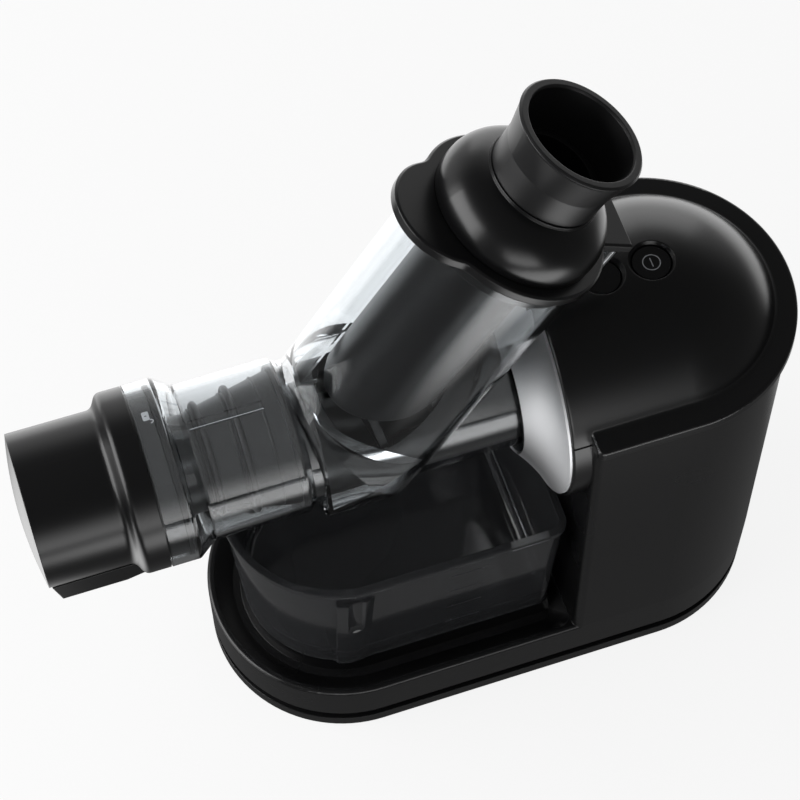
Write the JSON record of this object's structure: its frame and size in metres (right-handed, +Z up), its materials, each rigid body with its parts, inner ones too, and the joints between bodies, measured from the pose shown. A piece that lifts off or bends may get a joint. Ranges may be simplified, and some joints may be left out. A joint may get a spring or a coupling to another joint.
{
  "type": "cold press juicer",
  "caption": "Horizontal cold press juicer: a motor tower on a low tray turns an auger in a clear barrel with a slanted feed tube, above a sliding juice jug, with a twist-off pulp container.",
  "frame": {"origin": "centre of the flat underside of the stand's base plate", "axes": "+Z up; +X along the auger, from the pulp container towards the motor tower; -Y towards the person using it, where the jug slides out"},
  "size_m": [0.3368, 0.126, 0.3563],
  "materials": {
    "base_shell": "satin black moulding",
    "housing_shell": "satin black moulding",
    "cover_shell": "satin black moulding",
    "pad_rubber": "matt rubber",
    "screw_steel": "zinc plated",
    "steel_ring": "turned and brushed",
    "socket_plastic": "satin black moulding",
    "case_alloy": "die cast",
    "bearing_brass": "sintered",
    "seal_rubber": "soft rubber",
    "motor_steel": "plated can",
    "motor_plastic": "moulded",
    "shaft_steel": "ground",
    "armature_iron": "stacked laminations",
    "board_laminate": "green laminate",
    "gland_rubber": "matt rubber",
    "gear_polymer": "natural acetal",
    "gear_steel": "sintered steel",
    "auger_plastic": "satin black moulding",
    "strainer_plastic": "satin black moulding",
    "clear_plastic": "clear polished moulding",
    "band_plastic": "satin black moulding",
    "container_shell": "satin black moulding",
    "lid_plastic": "satin black moulding",
    "pusher_plastic": "satin black moulding",
    "grip_plastic": "satin black moulding",
    "button_plastic": "satin black moulding",
    "smoked_plastic": "smoked clear moulding"
  },
  "bodies": {
    "stand": {"base_plate": "base_shell", "pad_front_left": "pad_rubber", "pad_front_right": "pad_rubber", "pad_rear_left": "pad_rubber", "pad_rear_right": "pad_rubber", "base_screws": "screw_steel", "lower_housing": "housing_shell", "top_cover": "cover_shell", "collar_ring": "steel_ring", "drive_socket": "socket_plastic", "gearbox_case": "case_alloy", "case_screws": "screw_steel", "output_bearing": "bearing_brass", "shaft_seal": "seal_rubber", "motor_can": "motor_steel", "motor_end_bell": "motor_plastic", "button_board": "board_laminate", "control_board": "board_laminate", "cord_gland": "gland_rubber"},
    "drive": {"output_carrier": "shaft_steel", "auger": "auger_plastic"},
    "second_planet_1": {"second_planet_1": "gear_steel"},
    "second_planet_2": {"second_planet_2": "gear_steel"},
    "second_planet_3": {"second_planet_3": "gear_steel"},
    "first_carrier": {"first_carrier": "gear_polymer"},
    "first_planet_1": {"first_planet_1": "gear_polymer"},
    "first_planet_2": {"first_planet_2": "gear_polymer"},
    "first_planet_3": {"first_planet_3": "gear_polymer"},
    "rotor": {"motor_shaft": "shaft_steel", "motor_armature": "armature_iron"},
    "chamber": {"juicing_chamber": "clear_plastic", "strainer": "strainer_plastic", "chamber_seal": "seal_rubber"},
    "container": {"pulp_container": "container_shell", "container_seal": "seal_rubber", "lock_band": "band_plastic"},
    "lid": {"feed_lid": "lid_plastic"},
    "pusher": {"pusher": "pusher_plastic", "pusher_plug": "pusher_plastic", "pusher_grip": "grip_plastic"},
    "power_button": {"power_button": "button_plastic"},
    "reverse_button": {"reverse_button": "button_plastic"},
    "jug": {"juice_jug": "smoked_plastic"}
  },
  "joints": [
    {"name": "drive_spin", "type": "hinge", "parent": "stand", "child": "drive", "pos_m": [0, 0, 0.182], "axis": [1, 0, 0], "continuous": true},
    {"name": "first_carrier_spin", "type": "hinge", "parent": "stand", "child": "first_carrier", "pos_m": [0.0418, 0, 0.182], "axis": [1, 0, 0], "continuous": true},
    {"name": "rotor_spin", "type": "hinge", "parent": "stand", "child": "rotor", "pos_m": [0.06, 0, 0.182], "axis": [1, 0, 0], "continuous": true},
    {"name": "second_planet_1_spin", "type": "hinge", "parent": "drive", "child": "second_planet_1", "pos_m": [0.034, 0, 0.1988], "axis": [1, 0, 0], "continuous": true},
    {"name": "second_planet_2_spin", "type": "hinge", "parent": "drive", "child": "second_planet_2", "pos_m": [0.034, -0.01455, 0.1736], "axis": [1, 0, 0], "continuous": true},
    {"name": "second_planet_3_spin", "type": "hinge", "parent": "drive", "child": "second_planet_3", "pos_m": [0.034, 0.01455, 0.1736], "axis": [1, 0, 0], "continuous": true},
    {"name": "first_planet_1_spin", "type": "hinge", "parent": "first_carrier", "child": "first_planet_1", "pos_m": [0.05, 0, 0.1988], "axis": [1, 0, 0], "continuous": true},
    {"name": "first_planet_2_spin", "type": "hinge", "parent": "first_carrier", "child": "first_planet_2", "pos_m": [0.05, -0.01455, 0.1736], "axis": [1, 0, 0], "continuous": true},
    {"name": "first_planet_3_spin", "type": "hinge", "parent": "first_carrier", "child": "first_planet_3", "pos_m": [0.05, 0.01455, 0.1736], "axis": [1, 0, 0], "continuous": true},
    {"name": "chamber_twist", "type": "hinge", "parent": "stand", "child": "chamber", "pos_m": [0, 0, 0.182], "axis": [-1, 0, 0], "range_deg": [0, 25]},
    {"name": "container_twist", "type": "hinge", "parent": "chamber", "child": "container", "pos_m": [-0.15, 0, 0.182], "axis": [1, 0, 0], "range_deg": [0, 25]},
    {"name": "lid_lift", "type": "slide", "parent": "chamber", "child": "lid", "axis": [0.497, 0, 0.8678], "range_m": [0, 0.06]},
    {"name": "pusher_slide", "type": "slide", "parent": "lid", "child": "pusher", "axis": [0.497, 0, 0.8678], "range_m": [0, 0.12]},
    {"name": "power_press", "type": "slide", "parent": "stand", "child": "power_button", "axis": [0, 0, -1], "range_m": [0, 0.0015], "stiffness_N_per_m": 500, "springref_m": -0.0005},
    {"name": "reverse_press", "type": "slide", "parent": "stand", "child": "reverse_button", "axis": [0, 0, -1], "range_m": [0, 0.0015], "stiffness_N_per_m": 500, "springref_m": -0.0005},
    {"name": "jug_slide", "type": "slide", "parent": "stand", "child": "jug", "axis": [0, -1, 0], "range_m": [0, 0.17]}
  ],
  "couplings": [
    {"joint": "first_carrier_spin", "follows": "drive_spin", "ratio": 4.6667},
    {"joint": "rotor_spin", "follows": "drive_spin", "ratio": 21.778},
    {"joint": "second_planet_1_spin", "follows": "drive_spin", "ratio": -2.75},
    {"joint": "second_planet_2_spin", "follows": "drive_spin", "ratio": -2.75},
    {"joint": "second_planet_3_spin", "follows": "drive_spin", "ratio": -2.75},
    {"joint": "first_planet_1_spin", "follows": "drive_spin", "ratio": -12.833},
    {"joint": "first_planet_2_spin", "follows": "drive_spin", "ratio": -12.833},
    {"joint": "first_planet_3_spin", "follows": "drive_spin", "ratio": -12.833}
  ]
}
